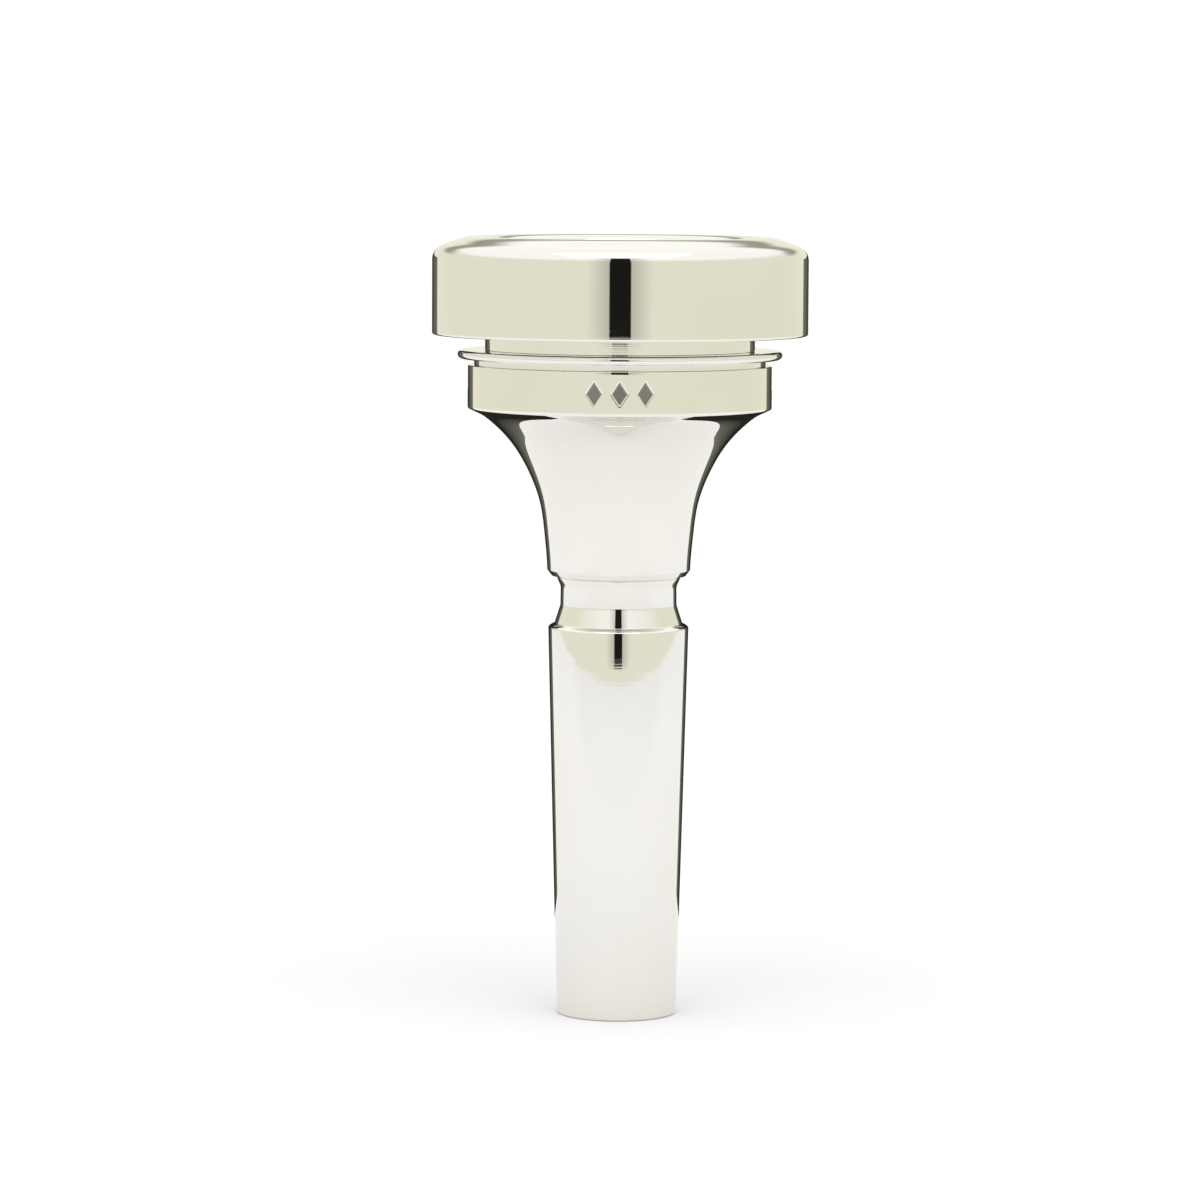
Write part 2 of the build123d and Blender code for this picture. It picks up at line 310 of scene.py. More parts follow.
def shaped_curve(shape, foot, width, height, start, end, steps):
    """Curve through an outline of (share of the height, share of the width) that stands on its foot."""
    points = [(foot[0] + wide * width, foot[1] + high * height) for high, wide in shape]
    return smooth_curve(points, start, end, steps)


def straight_rows(radius, start, end):
    """Close rows up or down a cylinder, for a surface that carries a thread or a mark."""
    count = max(2, round(abs(end - start) / FINE_ROW))
    return [(radius, height, SHARP) for height in np.linspace(start, end, count + 1)]


def gland(surface, root, bottom, top, top_edge):
    """Corners up a seal's groove in a spigot."""
    return [
        (surface, bottom, CRISP_EDGE),
        (root, bottom, GLAND_ROOT),
        (root, top, GLAND_ROOT),
        (surface, top, top_edge),
    ]


def half_section(corners, bend_steps=5, support=0.045):
    """Closed outline from (radius, height, rounding) corners: each on its arc, with a row close by."""
    corners = [np.array(corner, float) for corner in corners]
    rounded = []
    for k, corner in enumerate(corners):
        place, rounding = corner[:2], corner[2]
        back, ahead = corners[k - 1][:2] - place, corners[(k + 1) % len(corners)][:2] - place
        reach = 0.45 * min(np.linalg.norm(back), np.linalg.norm(ahead))
        back, ahead = back / np.linalg.norm(back), ahead / np.linalg.norm(ahead)
        half = np.arccos(np.clip(back @ ahead, -1, 1)) / 2
        if rounding == SHARP or half > radians(88):
            rounded.append((place, half < radians(80)))
            continue
        run = min(rounding / tan(half), reach)
        radius = run * tan(half)
        middle = place + (back + ahead) / np.linalg.norm(back + ahead) * radius / sin(half)
        first, last = place + back * run - middle, place + ahead * run - middle
        spread = pi - 2 * half
        for part in np.linspace(0, 1, bend_steps + 1):
            arm = (sin((1 - part) * spread) * first + sin(part * spread) * last) / sin(spread)
            rounded.append((middle + arm, True))
    outline = []
    for k, (place, bends) in enumerate(rounded):
        following, next_bends = rounded[(k + 1) % len(rounded)]
        run = following - place
        outline.append(place)
        span = np.linalg.norm(run)
        if bends and span > 6 * support:
            outline.append(place + run * support / span)
        if next_bends and span > 6 * support:
            outline.append(following - run * support / span)
    return np.array(outline)


def thread_relief(surface, rows, angles, pitch, depth, crest_flat, bottom, top):
    """How far a right-hand thread stands from its cylinder at each row and angle, from 0 to its depth."""
    on_it = np.isclose(rows[:, 0], surface, atol=1e-4)
    height, turn = rows[:, 1][:, None], (angles / (2 * pi))[None, :]
    lap = np.round((height - bottom) / pitch - turn)
    along = (turn + lap) * pitch
    away = np.abs(height - bottom - along)
    rise = np.clip(depth - (away - crest_flat / 2) / FLANK_SLOPE, 0, depth)
    ends = np.clip(along / RUN_OUT, 0, 1) * np.clip((top - bottom - along) / RUN_OUT, 0, 1)
    return rise * ends * on_it[:, None]


def spigot_crest(pitch, depth):
    """Width of the crest of a thread on a spigot."""
    return pitch * (1 - ROOT_SHARE) - 2 * depth * FLANK_SLOPE


def nut_crest(pitch):
    """Width of the crest of a thread in the bore that takes that spigot."""
    flank_room = 2 * FLANK_CLEARANCE * (1 + FLANK_SLOPE**2) ** 0.5
    return ROOT_SHARE * pitch + 2 * TIP_CLEARANCE * FLANK_SLOPE - flank_room


def mark_relief(surface, rows, angles, mark, level):
    """Depth of the lozenges cut in the band at each row and angle."""
    on_it = np.isclose(rows[:, 0], surface, atol=1e-4)[:, None]
    depth = np.zeros((len(rows), len(angles)))
    for k in range(mark.count):
        middle = FRONT + (k - (mark.count - 1) / 2) * mark.spacing
        across = np.abs(surface * (angles - middle))[None, :] / (mark.width / 2)
        along = np.abs(rows[:, 1] - level)[:, None] / (mark.height / 2)
        inside = (1 - across - along) * mark.width / 2
        depth = np.maximum(depth, mark.depth * np.clip(inside / mark.wall, 0, 1))
    return depth * on_it


def even_angles(count):
    """Angles of evenly spaced columns round the axis."""
    return np.arange(count) * 2 * pi / count


def marked_angles(mark):
    """Angles of the cup's columns: close together where the mark is cut, wider apart elsewhere."""
    half = mark.spacing * mark.count / 2 + MARK_MARGIN
    close = np.arange(FRONT - half, FRONT + half, MARK_COLUMN)
    apart = np.linspace(close[-1], close[0] + 2 * pi, PLAIN_COLUMNS + 2)[1:-1]
    return np.concatenate((close, apart))


def add_object(name, data):
    """New object in the scene."""
    made = bpy.data.objects.new(name, data)
    bpy.context.scene.collection.objects.link(made)
    return made


def write_layer(mesh, name, values):
    """Stores one number for each point of the mesh, for its material."""
    layer = mesh.attributes.new(name, "FLOAT", "POINT")
    layer.data.foreach_set("value", np.ascontiguousarray(values, np.float32))


def turned_piece(name, rows, angles, raised=0.0, cut=0.0):
    """Closed turned mesh from a half section; raised and cut move its surface out and in."""
    plain = np.zeros((len(rows), len(angles)))
    relief = plain + raised - cut
    recess = plain + np.clip(cut / max(np.max(cut), 1e-6), 0, 1)
    following = np.roll(rows, -1, axis=0)
    if np.sum(rows[:, 0] * following[:, 1] - following[:, 0] * rows[:, 1]) < 0:
        rows, relief, recess = rows[::-1], relief[::-1], recess[::-1]
    radius = rows[:, 0][:, None] + relief
    height = np.broadcast_to(rows[:, 1][:, None], radius.shape)
    places = np.stack((radius * np.cos(angles), radius * np.sin(angles), height), axis=-1) * MM
    row_count, column_count = radius.shape
    corner = np.arange(row_count * column_count).reshape(row_count, column_count)
    right, above = np.roll(corner, -1, axis=1), np.roll(corner, -1, axis=0)
    faces = np.stack((corner, right, np.roll(above, -1, axis=1), above), axis=-1).reshape(-1, 4)
    mesh = bpy.data.meshes.new(name)
    mesh.from_pydata(places.reshape(-1, 3).tolist(), [], faces.tolist())
    mesh.shade_smooth()
    before, after = rows - np.roll(rows, 1, axis=0), np.roll(rows, -1, axis=0) - rows
    bend = np.arctan2(
        before[:, 0] * after[:, 1] - before[:, 1] * after[:, 0], np.sum(before * after, axis=1)
    )
    edge = np.clip(bend / radians(15), 0, 1)
    write_layer(mesh, "edge", np.repeat(edge, column_count))
    write_layer(mesh, "recess", recess.ravel())
    return add_object(name, mesh)


def add_node(tree, kind, settings=None, **inputs):
    """Adds a node with its settings; an input is a number, a colour or another node's output."""
    node = tree.nodes.new(kind)
    for name, value in (settings or {}).items():
        setattr(node, name, value)
    for name, value in inputs.items():
        socket = node.inputs[int(name[1:])] if name[0] == "i" and name[1:].isdigit() else node.inputs[name]
        if isinstance(value, bpy.types.NodeSocket):
            tree.links.new(value, socket)
        else:
            socket.default_value = value
    return node


def maths(tree, operation, first, second=0.0, clamp=False):
    """Output of a Math node."""
    settings = {"operation": operation, "use_clamp": clamp}
    return add_node(tree, "ShaderNodeMath", settings, i0=first, i1=second).outputs[0]


def vector_maths(tree, operation, **inputs):
    """Vector Math node."""
    return add_node(tree, "ShaderNodeVectorMath", {"operation": operation}, **inputs)


def blend_colour(tree, factor, first, second):
    """Output of a colour Mix node."""
    return add_node(tree, "ShaderNodeMix", {"data_type": "RGBA"}, i0=factor, i6=first, i7=second).outputs[2]


def noise(tree, vector, scale, detail=2.0, roughness=0.5):
    """Noise node: its first output is grey from 0 to 1, and its second is coloured."""
    return add_node(
        tree, "ShaderNodeTexNoise", Vector=vector, Scale=scale, Detail=detail, Roughness=roughness
    )


def ramp(tree, value, low, high, to_low=0.0, to_high=1.0):
    """Value carried from one range to another, and held at its ends."""
    ends = {"i1": low, "i2": high, "i3": to_low, "i4": to_high}
    return add_node(tree, "ShaderNodeMapRange", {"clamp": True}, i0=value, **ends).outputs[0]


def patches(tree, place, low, high, scale, detail, roughness=0.5):
    """Soft patches of noise: 0 where it is under low, 1 where it is over high."""
    return ramp(tree, noise(tree, place, scale, detail, roughness).outputs[0], low, high)


def split_axes(tree, vector):
    """Outputs of a Separate XYZ node."""
    return add_node(tree, "ShaderNodeSeparateXYZ", Vector=vector).outputs


def object_place(tree):
    """Place on the piece, in its own frame."""
    return add_node(tree, "ShaderNodeTexCoord").outputs["Object"]


def mesh_layer(tree, name):
    """Number that the mesh holds at each of its points."""
    return add_node(tree, "ShaderNodeAttribute", {"attribute_name": name}).outputs["Fac"]


def bump_normal(tree, height, strength, distance):
    """Output of a Bump node."""
    return add_node(tree, "ShaderNodeBump", Strength=strength, Distance=distance, Height=height).outputs[0]


def blank_material(name):
    """New node material with its Principled shader: (material, node tree, shader)."""
    material = bpy.data.materials.new(name)
    material.use_nodes = True
    tree = material.node_tree
    return material, tree, tree.nodes["Principled BSDF"]


def silver_plate(name, finish):
    """Polished silver plate: turning rings, hairlines, haze, yellowing and tarnish in its cuts."""
    material, tree, shader = blank_material(name)
    silver, warm_silver, tarnish = (
        (*tint, 1) for tint in (finish.silver, finish.warm_silver, finish.tarnish)
    )
    place = object_place(tree)

    # Turning rings depend on the distance from the axis and on the height alone
    flat = vector_maths(tree, "MULTIPLY", i0=place, i1=(1, 1, 0)).outputs[0]
    out = vector_maths(tree, "LENGTH", i0=flat).outputs["Value"]
    up = split_axes(tree, place)["Z"]
    section = add_node(tree, "ShaderNodeCombineXYZ", X=out, Z=up).outputs[0]
    rings = noise(tree, section, scale=5200, detail=3.0, roughness=0.6).outputs[0]
    broad_rings = noise(tree, section, scale=620).outputs[0]

    # Hairlines are the edges of large swayed cells, kept only in worn patches
    warped = noise(tree, place, scale=90).outputs[1]
    swayed = vector_maths(tree, "MULTIPLY_ADD", i0=warped, i1=(0.006,) * 3, i2=place).outputs[0]
    cells = add_node(
        tree, "ShaderNodeTexVoronoi", {"feature": "DISTANCE_TO_EDGE"}, Vector=swayed, Scale=170.0
    )
    lines = ramp(tree, cells.outputs[0], low=0.0, high=0.006, to_low=1.0, to_high=0.0)
    worn = patches(tree, place, low=0.52, high=0.66, scale=260, detail=1.0)
    hairlines = maths(tree, "MULTIPLY", lines, worn)

    handled = patches(tree, place, low=0.42, high=0.7, scale=75, detail=4.0, roughness=0.62)
    yellowed = patches(tree, place, low=0.36, high=0.68, scale=38, detail=3.0, roughness=0.55)
    recess, edge = mesh_layer(tree, "recess"), mesh_layer(tree, "edge")

    edge_wear, recess_tarnish = 0.5, 0.8
    tint = blend_colour(tree, yellowed, silver, warm_silver)
    tint = blend_colour(tree, maths(tree, "MULTIPLY", edge, edge_wear), tint, silver)
    tint = blend_colour(tree, maths(tree, "MULTIPLY", recess, recess_tarnish), tint, tarnish)
    tree.links.new(tint, shader.inputs["Base Color"])

    rough = ramp(tree, handled, 0.0, 1.0, finish.polish, finish.polish + finish.haze)
    for pattern, strength in ((rings, 0.01), (hairlines, 0.06), (recess, 0.35)):
        rough = maths(tree, "ADD", rough, maths(tree, "MULTIPLY", pattern, strength), clamp=True)
    tree.links.new(rough, shader.inputs["Roughness"])

    fine_height, broad_height = 0.12, 0.55
    relief = maths(
        tree, "ADD",
        maths(tree, "MULTIPLY", rings, fine_height), maths(tree, "MULTIPLY", broad_rings, broad_height),
    )
    tree.links.new(bump_normal(tree, relief, strength=0.16, distance=0.00002), shader.inputs["Normal"])
    shader.inputs["Metallic"].default_value = 1.0
    return material


def seal_rubber(name, finish):
    """Moulded black rubber with a dusty bloom and a fine grain."""
    material, tree, shader = blank_material(name)
    place = object_place(tree)
    dusty = patches(tree, place, low=0.4, high=0.75, scale=900, detail=4.0, roughness=0.65)
    tint = blend_colour(tree, dusty, (*finish.rubber, 1), (*finish.bloom, 1))
    tree.links.new(tint, shader.inputs["Base Color"])
    rough = ramp(tree, dusty, low=0.0, high=1.0, to_low=0.42, to_high=0.72)
    tree.links.new(rough, shader.inputs["Roughness"])
    grain = noise(tree, place, scale=14000, detail=3.0).outputs[0]
    tree.links.new(bump_normal(tree, grain, strength=0.35, distance=0.00003), shader.inputs["Normal"])
    shader.inputs["Specular IOR Level"].default_value = 0.4
    return material


def finish_piece(piece, material, body, node):
    """Gives a piece its material and slot, and puts it in its node's place on its body."""
    piece.data.materials.append(material)
    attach(piece, body)
    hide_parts(node)


def rim_joint(settings):
    """Radii and levels of the screwed joint between rim and cup, in millimetres."""
    rim, cup, seals = in_mm(settings.rim), in_mm(settings.cup), in_mm(settings.seals)
    bore = cup.gland_radius + seals.rim_section + 2 * SEAL_CLEARANCE
    gland_top = cup.spigot_top - GLAND_LAND
    gland_bottom = gland_top - seals.rim_section - 2 * GLAND_SIDE
    thread_top = gland_bottom - GLAND_LAND
    return SimpleNamespace(
        bore=bore,
        spigot=bore - PILOT_CLEARANCE,
        root=bore,
        gland_top=gland_top,
        gland_bottom=gland_bottom,
        thread_top=thread_top,
        nut=bore + rim.thread_depth + TIP_CLEARANCE,
        nut_top=thread_top + SEAT_GAP,
        nut_start=rim.underside + RUN_SHARE * rim.thread_pitch,
    )


def shank_joint(settings):
    """Radii and levels of the screwed joint between cup and shank, in millimetres."""
    shank, seals = in_mm(settings.shank), in_mm(settings.seals)
    flare_bottom = shank.shoulder + shank.shoulder_height
    seat = flare_bottom + shank.flare_height + shank.neck_height + shank.collar_height
    gland_bottom = seat + GLAND_LAND
    gland_top = gland_bottom + seals.shank_section + 2 * GLAND_SIDE
    pilot_top = gland_top + GLAND_LAND
    root = shank.throat_radius + SPIGOT_WALL
    return SimpleNamespace(
        seat=seat,
        gland_bottom=gland_bottom,
        gland_top=gland_top,
        pilot_top=pilot_top,
        root=root,
        nut=root + shank.thread_depth + TIP_CLEARANCE,
        nut_bottom=pilot_top + SEAT_GAP,
        nut_start=pilot_top + SEAT_GAP + RUN_SHARE * shank.thread_pitch,
    )


def rim_top(rim):
    """Points over the rim's rounded top, from the bite across the crest to the outside."""
    bite = (rim.bite_radius, rim.crest - rim.inner_bite_drop)
    inner = (rim.bite_radius + INNER_TURN[0], rim.crest - INNER_TURN[1])
    top = (rim.bite_radius + rim.crest_inset, rim.crest)
    slope, turn = ((rim.outer_radius - inset, rim.crest - drop) for inset, drop in (OUTER_SLOPE, OUTER_TURN))
    outer = (rim.outer_radius, rim.crest - rim.outer_drop)
    inner_crest = smooth_curve((bite, inner, top), UP, OUTWARD, INNER_CREST_STEPS)
    outer_crest = smooth_curve((top, slope, turn, outer), OUTWARD, DOWN, OUTER_CREST_STEPS)
    return inner_crest + outer_crest[1:]


class MOUTHPIECE_OT_rim(bpy.types.Operator):
    """Turns the screw-on rim with its rounded crest and the thread in its bore"""

    bl_idname = "mouthpiece.rim"
    bl_label = "Rim"

    def execute(self, context):
        settings = context.scene.mouthpiece
        rim, cup, joint = in_mm(settings.rim), in_mm(settings.cup), rim_joint(settings)
        seat = rim.crest - rim.seat_depth
        rows = half_section([
            (cup.bowl_radius, seat, FINE_EDGE),
            *rim_top(rim),
            (rim.outer_radius, rim.underside, rim.edge_rounding),
            (joint.nut, rim.underside, SOFT_EDGE),
            *straight_rows(joint.nut, rim.underside + LEAD_IN, joint.nut_top),
            (joint.bore, joint.nut_top, CRISP_EDGE),
            (joint.bore, seat, SHARP),
        ])
        angles = even_angles(RIM_COLUMNS)
        thread = thread_relief(
            joint.nut, rows, angles, rim.thread_pitch, rim.thread_depth, nut_crest(rim.thread_pitch),
            bottom=joint.nut_start, top=joint.nut_top - RUN_SHARE * rim.thread_pitch,
        )
        piece = turned_piece("screw_rim", rows, angles, raised=-thread)
        finish_piece(piece, silver_plate("silver_plate_rim", settings.plate), "rim", "rim")
        return {"FINISHED"}


def cup_bead(cup, bottom, top):
    """Points round the bead above the groove, from its lower side to its upper one."""
    bead, middle = cup.lip_height / 2, (bottom + top) / 2
    return [
        (cup.lip_radius - bead * (1 - cos(turn)), middle + bead * sin(turn), SHARP)
        for turn in np.linspace(-BEAD_HALF_TURN, BEAD_HALF_TURN, BEAD_POINTS)
    ]


def cup_outside(cup, joint):
    """Corners up the cup's outside to the top of its spigot, and the level of the band's middle."""
    funnel_bottom = cup.foot + cup.foot_height
    band_bottom = funnel_bottom + cup.funnel_height
    band_top = band_bottom + cup.band_height
    lip_bottom = band_top + cup.groove_height
    lip_top = lip_bottom + cup.lip_height
    neck_top = lip_top + cup.neck_height
    funnel = shaped_curve(
        FUNNEL_SHAPE, (cup.stem_radius, funnel_bottom), cup.band_radius - cup.stem_radius, cup.funnel_height,
        FUNNEL_START, FUNNEL_END, FUNNEL_STEPS,
    )
    foot_inset, head_inset = 0.04, 0.02
    corners = [
        (cup.stem_radius - cup.foot_inset, cup.foot, FINE_EDGE),
        (cup.stem_radius, funnel_bottom, SOFT_EDGE),
        *funnel[1:],
        (cup.band_radius - foot_inset, band_bottom, cup.band_edge),
        *straight_rows(cup.band_radius, band_bottom + BAND_MARGIN, band_top - BAND_MARGIN),
        (cup.band_radius - head_inset, band_top, cup.band_edge),
        (cup.groove_radius, band_top, FINE_EDGE),
        (cup.groove_radius, lip_bottom, SOFT_EDGE),
        *cup_bead(cup, lip_bottom, lip_top),
        (cup.neck_radius, lip_top, FINE_EDGE),
        (cup.neck_radius, neck_top, SHARP),
        *straight_rows(joint.root, neck_top + SEAT_GAP, joint.thread_top),
        (joint.spigot, joint.thread_top, SHARP),
        *gland(joint.spigot, cup.gland_radius, joint.gland_bottom, joint.gland_top, CRISP_EDGE),
        (joint.spigot, cup.spigot_top, PILOT_EDGE),
    ]
    return corners, (band_bottom + band_top) / 2


def cup_inside(cup, shank, foot_joint, bowl_foot):
    """Corners down the cup's inside, from the mouth of the bowl to the foot."""
    pilot_bore = shank.pilot_radius + PILOT_CLEARANCE
    bowl = shaped_curve(
        BOWL_SHAPE, (cup.bowl_foot_radius, bowl_foot),
        cup.bowl_radius - cup.bowl_foot_radius, cup.spigot_top - bowl_foot,
        DOWN, BOWL_END, BOWL_STEPS,
    )
    return [
        *bowl,
        (foot_joint.nut, bowl_foot, SHARP),
        *straight_rows(foot_joint.nut, bowl_foot - ROW_MARGIN, foot_joint.nut_bottom),
        (pilot_bore, foot_joint.nut_bottom, CRISP_EDGE),
        (pilot_bore, cup.foot, PILOT_EDGE),
    ]


class MOUTHPIECE_OT_cup(bpy.types.Operator):
    """Turns the cup: funnel, marked band, groove, bead, threaded spigot, bowl and threaded foot"""

    bl_idname = "mouthpiece.cup"
    bl_label = "Cup"

    def execute(self, context):
        settings = context.scene.mouthpiece
        cup, rim, mark, shank = (in_mm(getattr(settings, name)) for name in ("cup", "rim", "mark", "shank"))
        joint, foot_joint = rim_joint(settings), shank_joint(settings)
        bowl_foot = shank.top + SEAT_GAP
        outside, mark_level = cup_outside(cup, joint)
        rows = half_section([*outside, *cup_inside(cup, shank, foot_joint, bowl_foot)])
        angles = marked_angles(mark)
        turns = angles % (2 * pi)
        screw = thread_relief(
            joint.root, rows, turns, rim.thread_pitch, rim.thread_depth,
            spigot_crest(rim.thread_pitch, rim.thread_depth),
            bottom=joint.nut_start + rim.thread_pitch / 2,
            top=joint.thread_top - RUN_SHARE * rim.thread_pitch,
        )
        nut = thread_relief(
            foot_joint.nut, rows, turns, shank.thread_pitch, shank.thread_depth,
            nut_crest(shank.thread_pitch),
            bottom=foot_joint.nut_start,
            top=bowl_foot - RUN_SHARE * shank.thread_pitch,
        )
        cut = mark_relief(cup.band_radius, rows, angles, mark, mark_level)
        piece = turned_piece("screw_cup", rows, angles, raised=screw - nut, cut=cut)
        finish_piece(piece, silver_plate("silver_plate_cup", settings.plate), "cup", "cup")
        return {"FINISHED"}


def shank_outside(shank, joint):
    """Corners up the shank's outside, from the end of the taper to the top of the spigot."""
    shoulder_top = shank.shoulder + shank.shoulder_height
    flare_top = shoulder_top + shank.flare_height
    neck_top = flare_top + shank.neck_height
    bulge, bulge_drop = 0.2, 0.08
    shoulder = smooth_curve(
        (
            (shank.shoulder_radius, shank.shoulder),
            (shank.flare_radius + bulge, shoulder_top - bulge_drop),
            (shank.flare_radius, shoulder_top),
        ),
        UP, SHOULDER_END, SHOULDER_STEPS,
    )
    bend_out, bend_up = 0.55, 0.5
    bend_radius = shank.neck_radius + bend_out * (shank.collar_radius - shank.neck_radius)
    collar = smooth_curve(
        (
            (shank.neck_radius, neck_top),
            (bend_radius, neck_top + bend_up * shank.collar_height),
            (shank.collar_radius, joint.seat - PILOT_EDGE),
        ),
        UP, COLLAR_END, SHOULDER_STEPS,
    )
    neck_widening, flare_rounding = 0.02, 0.5
    return [
        (shank.tip_radius, 0, shank.tip_rounding),
        *shoulder,
        (shank.neck_radius + neck_widening, flare_top, flare_rounding),
        *collar,
        (shank.collar_radius - PILOT_EDGE, joint.seat, CRISP_EDGE),
        (shank.pilot_radius, joint.seat, CRISP_EDGE),
        *gland(shank.pilot_radius, shank.gland_radius, joint.gland_bottom, joint.gland_top, KEEN_EDGE),
        (shank.pilot_radius, joint.pilot_top, PILOT_EDGE),
        (joint.root, joint.pilot_top, SHARP),
        *straight_rows(joint.root, joint.pilot_top + ROW_MARGIN, shank.top - LEAD_IN),
        (joint.root, shank.top, PILOT_EDGE),
    ]


class MOUTHPIECE_OT_shank(bpy.types.Operator):
    """Turns the tapered shank with its shoulder, necked collar, threaded spigot, throat and backbore"""

    bl_idname = "mouthpiece.shank"
    bl_label = "Shank"

    def execute(self, context):
        settings = context.scene.mouthpiece
        shank, joint = in_mm(settings.shank), shank_joint(settings)
        backbore = smooth_curve(
            ((shank.throat_radius, shank.top - shank.throat_length), (shank.mouth_radius, 0)),
            DOWN, BACKBORE_END, BACKBORE_STEPS,
        )
        rows = half_section([
            *shank_outside(shank, joint),
            (shank.throat_radius, shank.top, THROAT_EDGE),
            *backbore,
        ])
        angles = even_angles(SHANK_COLUMNS)
        thread = thread_relief(
            joint.root, rows, angles, shank.thread_pitch, shank.thread_depth,
            spigot_crest(shank.thread_pitch, shank.thread_depth),
            bottom=joint.nut_start + shank.thread_pitch / 2,
            top=shank.top - RUN_SHARE * shank.thread_pitch,
        )
        piece = turned_piece("screw_shank", rows, angles, raised=thread)
        plate = silver_plate("silver_plate_shank", settings.plate)
        finish_piece(piece, plate, "shank", "shank")
        return {"FINISHED"}


class MOUTHPIECE_OT_seals(bpy.types.Operator):
    """Moulds the two rubber O-rings, each with the fine line that its mould leaves"""

    bl_idname = "mouthpiece.seals"
    bl_label = "Seals"

    def execute(self, context):
        settings = context.scene.mouthpiece
        seals, joint, foot_joint = in_mm(settings.seals), rim_joint(settings), shank_joint(settings)
        rubber = seal_rubber("seal_rubber", settings.rubber)
        rings = (
            ("rim_o_ring", seals.rim_ring_radius, seals.rim_section, joint, "rim_ring", "rim_seal"),
            (
                "shank_o_ring", seals.shank_ring_radius, seals.shank_section, foot_joint,
                "shank_ring", "shank_seal",
            ),
        )
        turns = even_angles(SEAL_STEPS)
        line_share = 0.14
        line = seals.flash * np.clip(1 - np.abs(np.sin(turns)) / line_share, 0, 1)
        for name, ring_radius, section, place, body, node in rings:
            level = (place.gland_bottom + place.gland_top) / 2
            reach = section / 2 - seals.flash + line
            rows = np.stack((ring_radius + reach * np.cos(turns), level + reach * np.sin(turns)), axis=-1)
            piece = turned_piece(name, rows, even_angles(SEAL_COLUMNS))
            finish_piece(piece, rubber, body, node)
        return {"FINISHED"}


def elevation_band(tree, up, foot, head):
    """1 between two elevations and 0 past them; foot and head are (start, end) in degrees."""
    foot_start, foot_end, head_start, head_end = (sin(radians(degrees)) for degrees in (*foot, *head))
    above = ramp(tree, up, foot_start, foot_end)
    below = ramp(tree, up, head_start, head_end, to_low=1.0, to_high=0.0)
    return maths(tree, "MULTIPLY", above, below)


def light_room(studio):
    """World light of a white tent: creamy near the horizon, white overhead, with a dark gap in front."""
    world = bpy.data.worlds.new("tent_light")
    world.use_nodes = True
    tree = world.node_tree
    background = tree.nodes["Background"]
    x, y, up = split_axes(tree, add_node(tree, "ShaderNodeTexCoord").outputs["Generated"])
    climb = ramp(tree, up, sin(radians(21)), sin(radians(33)))
    light = blend_colour(tree, climb, (*studio.room, 1), (*studio.ceiling, 1))

    # Dark gap in front, with a softer shade at both sides of it
    aside = maths(tree, "ABSOLUTE", maths(tree, "ARCTAN2", x, maths(tree, "MULTIPLY", y, -1.0)))
    slit, slit_blur, shade_end = studio.slit_half_angle, radians(0.6), radians(20)
    shade = ramp(tree, aside, slit, shade_end, to_low=0.62)
    gap = ramp(tree, aside, slit, slit + slit_blur, to_low=0.02)
    front = elevation_band(tree, up, foot=(-2.4, -2.38), head=(40, 44))
    dimmed = maths(tree, "MULTIPLY", shade, gap)
    dimmed = add_node(tree, "ShaderNodeMix", {"data_type": "FLOAT"}, i0=front, i2=1.0, i3=dimmed).outputs[0]
    light = vector_maths(tree, "SCALE", i0=light, i3=dimmed).outputs[0]

    # Soft grey bar behind
    behind = ramp(tree, y, low=0.6, high=0.8)
    bar = maths(tree, "MULTIPLY", elevation_band(tree, up, foot=(15, 20), head=(25, 30)), behind)
    dimmed = ramp(tree, bar, low=0.0, high=1.0, to_low=1.0, to_high=0.4)
    light = vector_maths(tree, "SCALE", i0=light, i3=dimmed).outputs[0]

    # White backdrop
    backdrop = (1.05, 1.05, 1.05, 1)
    seen = add_node(tree, "ShaderNodeLightPath").outputs["Is Camera Ray"]
    tree.links.new(blend_colour(tree, seen, light, backdrop), background.inputs["Color"])
    background.inputs["Strength"].default_value = 1.0
    bpy.context.scene.world = world


def pale_floor(studio):
    """Round pale floor under the shank's end; it glows faintly as painted light, more strongly far out at
    its sides and behind the mouthpiece.
    """
    radius = studio.floor_radius
    ring = [(radius * cos(turn), radius * sin(turn), 0.0) for turn in even_angles(FLOOR_COLUMNS)]
    mesh = bpy.data.meshes.new("floor")
    mesh.from_pydata(ring, [], [range(len(ring))])
    floor = add_object("floor", mesh)
    material, tree, shader = blank_material("pale_floor")
    place = object_place(tree)
    grain = patches(tree, place, low=0.3, high=0.7, scale=40, detail=3.0)
    darker = [channel * 0.985 for channel in studio.floor]
    tint = blend_colour(tree, grain, (*studio.floor, 1), (*darker, 1))
    tree.links.new(tint, shader.inputs["Base Color"])
    # Painted light: the floor glows, faintly near the mouthpiece and in front of it, and more strongly
    # beyond 0.3 m at its sides and behind it.
    out = vector_maths(tree, "LENGTH", i0=place).outputs["Value"]
    forward = split_axes(tree, place)["Y"]
    far = maths(tree, "MULTIPLY", ramp(tree, out, 0.05, 0.3), ramp(tree, forward, -0.22, -0.08))
    near_glow, far_glow = (0.02, 0.02, 0.04, 1), (0.08, 0.08, 0.11, 1)
    tree.links.new(blend_colour(tree, far, near_glow, far_glow), shader.inputs["Emission Color"])
    shader.inputs["Emission Strength"].default_value = 1.0
    shader.inputs["Roughness"].default_value = 0.9
    shader.inputs["Specular IOR Level"].default_value = 0.1
    mesh.materials.append(material)


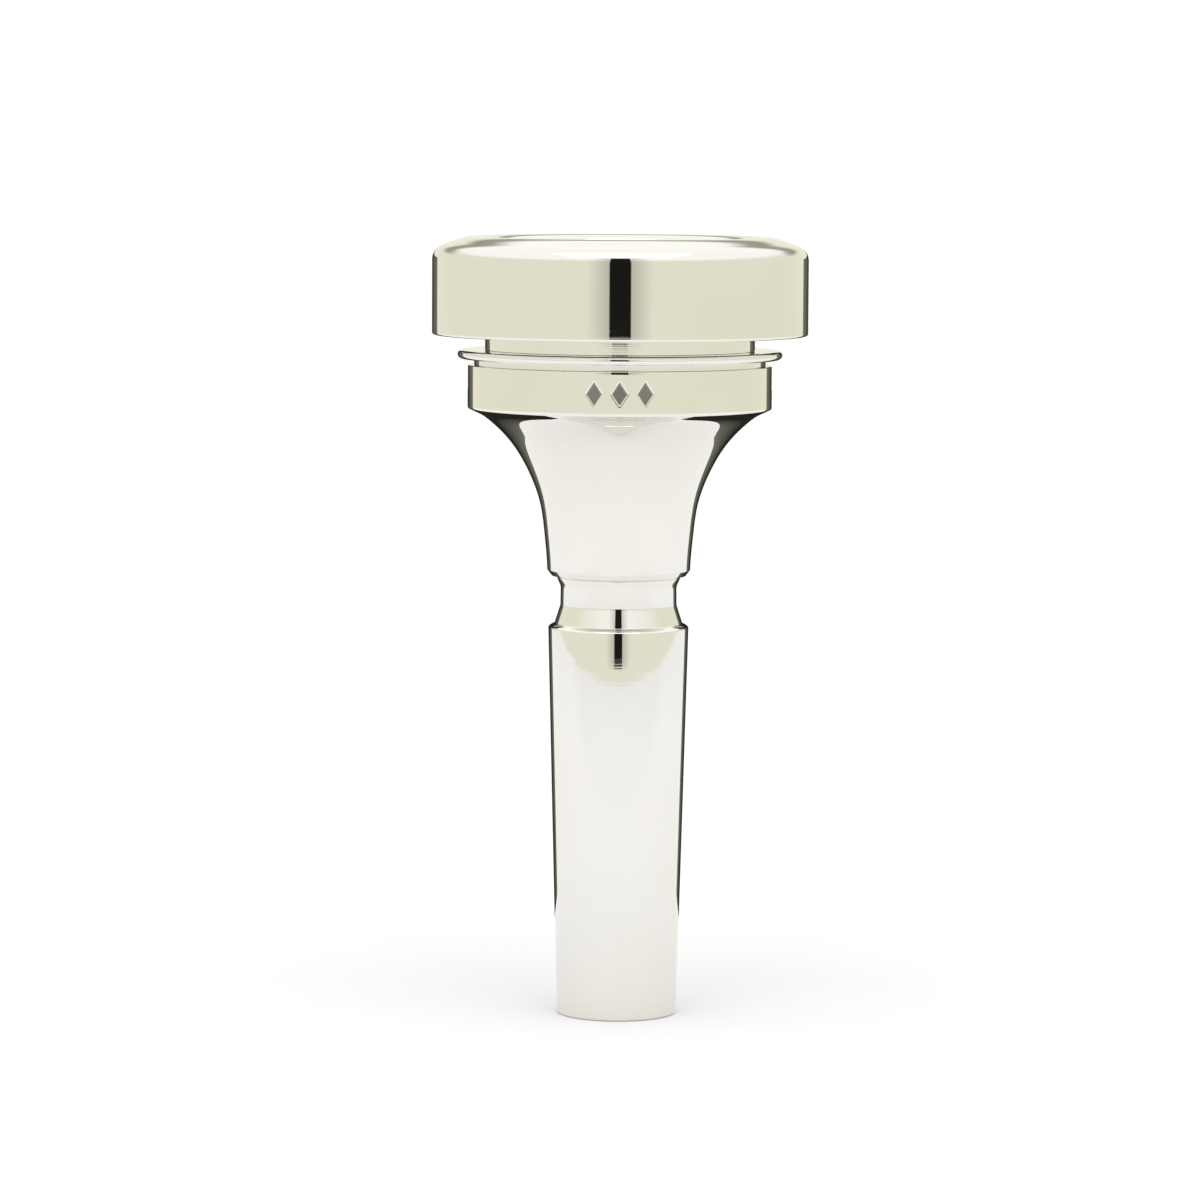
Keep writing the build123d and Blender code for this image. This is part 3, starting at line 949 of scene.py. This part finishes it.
def edge_card(name, side, studio):
    """Dark card behind the mouthpiece that only reflections see: it draws one side's outline."""
    inner, outer = studio.card_inner, studio.card_outer
    low, high = studio.card_step, studio.card_height
    step_share, fade_share = 0.34, 0.4
    step = inner + step_share * (outer - inner)
    outline = ((inner, 0), (outer, 0), (outer, high), (step, high), (step, low), (inner, low))
    mesh = bpy.data.meshes.new(name)
    corners = [(side * across, studio.card_distance, up) for across, up in outline]
    mesh.from_pydata(corners, [], [range(len(corners))])
    card = add_object(name, mesh)
    material, tree, shader = blank_material(name)
    tree.nodes.remove(shader)
    across = maths(tree, "ABSOLUTE", split_axes(tree, object_place(tree))["X"])
    fade = ramp(tree, across, inner + fade_share * (outer - inner), outer)
    black, grey = (0.02, 0.02, 0.015, 1), (0.2, 0.2, 0.17, 1)
    glow = add_node(tree, "ShaderNodeEmission", Color=blend_colour(tree, fade, black, grey))
    tree.links.new(glow.outputs[0], tree.nodes["Material Output"].inputs["Surface"])
    mesh.materials.append(material)
    card.visible_camera = False
    card.visible_diffuse = False
    card.visible_shadow = False
    card.visible_transmission = False


def hang_softbox(studio):
    """Rectangular soft light overhead, pointed at the mouthpiece."""
    light = bpy.data.lights.new("softbox", "AREA")
    light.shape = "RECTANGLE"
    light.size, light.size_y = studio.softbox_width, studio.softbox_depth
    light.energy = studio.softbox_power
    lamp = add_object("softbox", light)
    drop = studio.softbox_height - studio.softbox_aim
    lamp.location = (0.0, -studio.softbox_forward, studio.softbox_height)
    lamp.rotation_euler = (atan2(studio.softbox_forward, drop), 0.0, 0.0)


def set_camera(studio):
    """Camera in front of the mouthpiece, a little above the rim."""
    camera = bpy.data.cameras.new("camera")
    camera.lens, camera.sensor_width = studio.lens, 36
    stand = add_object("camera", camera)
    place = Matrix.Translation((0, -studio.camera_distance, studio.camera_height))
    turn = Euler((pi / 2 - studio.camera_tilt, 0, studio.camera_turn)).to_matrix().to_4x4()
    stand.matrix_world = place @ turn @ Matrix.Rotation(studio.camera_roll, 4, "Z")
    bpy.context.scene.camera = stand


class MOUTHPIECE_OT_studio(bpy.types.Operator):
    """Sets up the floor, the tent's light, the cards that draw the outlines, and the camera"""

    bl_idname = "mouthpiece.studio"
    bl_label = "Studio"

    def execute(self, context):
        studio = context.scene.mouthpiece.studio
        light_room(studio)
        pale_floor(studio)
        for side, name in ((-1, "left_card"), (1, "right_card")):
            edge_card(name, side, studio)
        hang_softbox(studio)
        set_camera(studio)
        context.scene.view_settings.view_transform = "Standard"
        return {"FINISHED"}


class MOUTHPIECE_PT_panel(bpy.types.Panel):
    """Lists the pieces that can be built"""

    bl_label = "Mouthpiece"
    bl_idname = "MOUTHPIECE_PT_panel"
    bl_space_type = "VIEW_3D"
    bl_region_type = "UI"
    bl_category = "Mouthpiece"

    def draw(self, context):
        for operator in OPERATORS:
            self.layout.operator(operator.bl_idname)


GROUPS = (
    RimSizes, CupSizes, MarkSizes, ShankSizes, SealSizes, PlateFinish, RubberFinish, StudioSettings,
    MouthpieceSettings,
)
OPERATORS = (
    MOUTHPIECE_OT_rim, MOUTHPIECE_OT_cup, MOUTHPIECE_OT_shank, MOUTHPIECE_OT_seals, MOUTHPIECE_OT_studio,
)


def register():
    for item in (*GROUPS, *OPERATORS, MOUTHPIECE_PT_panel):
        bpy.utils.register_class(item)
    bpy.types.Scene.mouthpiece = PointerProperty(type=MouthpieceSettings)


def unregister():
    del bpy.types.Scene.mouthpiece
    for item in reversed((*GROUPS, *OPERATORS, MOUTHPIECE_PT_panel)):
        bpy.utils.unregister_class(item)


def main():
    register()
    bpy.ops.mouthpiece.rim()
    bpy.ops.mouthpiece.cup()
    bpy.ops.mouthpiece.shank()
    bpy.ops.mouthpiece.seals()
    bpy.ops.mouthpiece.studio()


if __name__ == "__main__":
    main()
